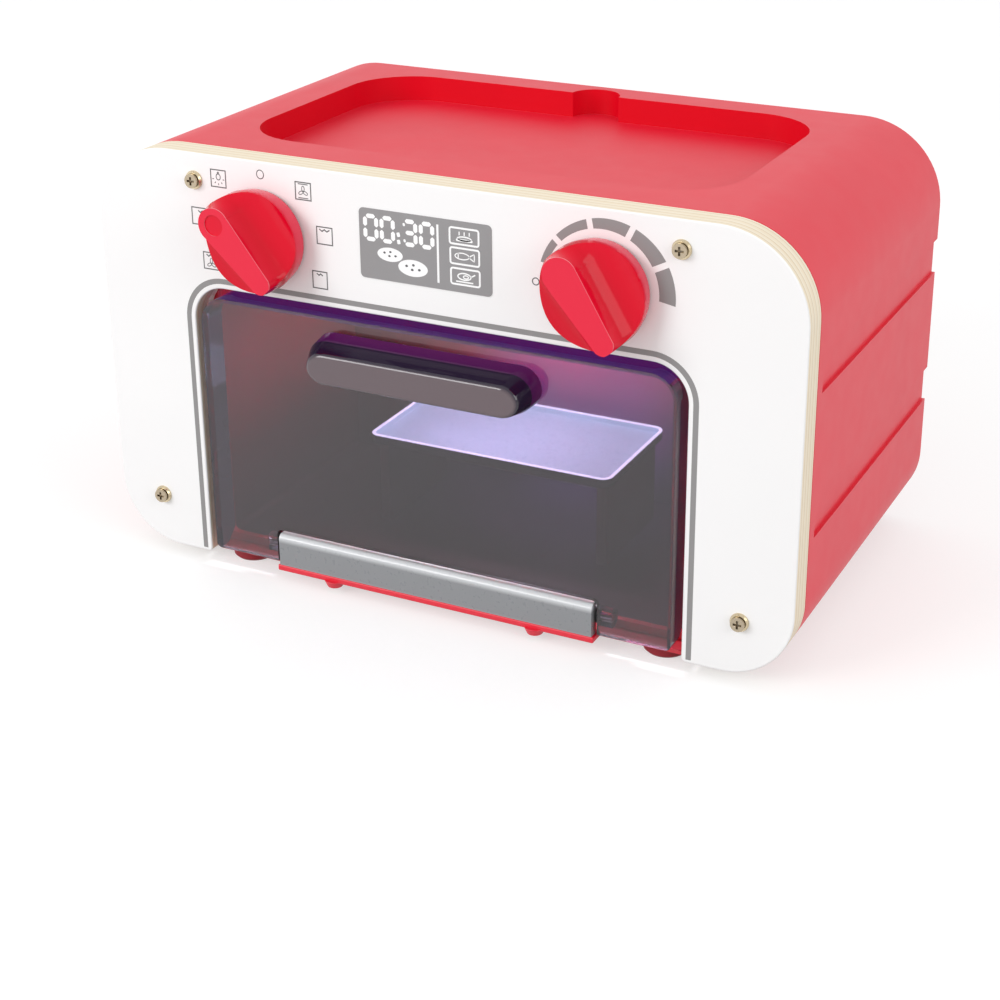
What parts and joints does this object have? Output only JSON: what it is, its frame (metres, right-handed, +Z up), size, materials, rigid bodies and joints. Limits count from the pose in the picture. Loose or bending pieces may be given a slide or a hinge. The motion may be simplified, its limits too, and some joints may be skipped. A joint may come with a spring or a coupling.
{
  "type": "toy oven",
  "caption": "Toy countertop oven: red case with tray-shaped top, white wooden front, tinted drop-down door with moulded handle, turning knobs and a lit tray inside.",
  "frame": {"origin": "middle of the footprint on the floor that the feet stand on", "axes": "+X to the right seen from the front, +Y from the front to the back, +Z up; the door faces -Y"},
  "size_m": [0.33, 0.2074, 0.196],
  "materials": {
    "red_plastic": "satin moulded",
    "red_gloss": "polished",
    "red_liner": "satin moulded",
    "white_plywood": "white lacquer on pale plywood, bare at the edges",
    "screw_steel": "nickel plated",
    "cup_brass": "plated",
    "label_grey": "printed",
    "tinted_plastic": "polished, see-through",
    "grey_plastic": "satin",
    "black_plastic": "moulded",
    "dark_plastic": "satin",
    "glow_plastic": "frosted, lit",
    "clear_plastic": "clear",
    "board_green": "solder mask",
    "led_violet": "clear, lit",
    "cell_jacket": "printed sleeve",
    "white_plastic": "moulded",
    "dark_red_rubber": "matte"
  },
  "bodies": {
    "case": {"body_shell": "red_plastic", "front_panel": "white_plywood", "panel_screws": "screw_steel", "screw_cups": "cup_brass", "display_label": "label_grey", "hinge_bar": "grey_plastic", "hinge_rod": "screw_steel", "hinge_washers": "black_plastic", "bar_screws": "screw_steel", "oven_liner": "red_liner", "liner_screws": "screw_steel", "tray_stand": "dark_plastic", "glow_tray": "glow_plastic", "lamp_window": "clear_plastic", "lamp_board": "board_green", "lamp_leds": "led_violet", "lamp_screws": "screw_steel", "selector_switch": "black_plastic", "timer_switch": "black_plastic", "switch_nuts": "screw_steel", "control_board": "board_green", "board_parts": "black_plastic", "board_screws": "screw_steel", "back_cover": "red_plastic", "cover_screws": "screw_steel", "speaker_frame": "black_plastic", "speaker_magnet": "screw_steel", "battery_box": "black_plastic", "batteries": "cell_jacket", "battery_springs": "screw_steel", "battery_plates": "screw_steel", "battery_door": "red_plastic", "battery_door_screw": "screw_steel", "power_switch": "black_plastic", "feet": "dark_red_rubber"},
    "door": {"door": "tinted_plastic"},
    "selector": {"selector_knob": "red_gloss", "selector_shaft": "screw_steel"},
    "timer": {"timer_knob": "red_gloss", "timer_shaft": "screw_steel"},
    "switch_slider": {"power_slider": "white_plastic"}
  },
  "joints": [
    {"name": "door_hinge", "type": "hinge", "parent": "case", "child": "door", "pos_m": [0, -0.07725, 0.0165], "axis": [1, 0, 0], "range_deg": [0, 80]},
    {"name": "selector_turn", "type": "hinge", "parent": "case", "child": "selector", "pos_m": [-0.079, -0.08125, 0.163], "axis": [0, 1, 0], "range_deg": [-77, 163]},
    {"name": "timer_turn", "type": "hinge", "parent": "case", "child": "timer", "pos_m": [0.079, -0.08125, 0.163], "axis": [0, 1, 0], "range_deg": [-54, 136]},
    {"name": "power_slide", "type": "slide", "parent": "case", "child": "switch_slider", "axis": [1, 0, 0], "range_m": [0, 0.006]}
  ]
}
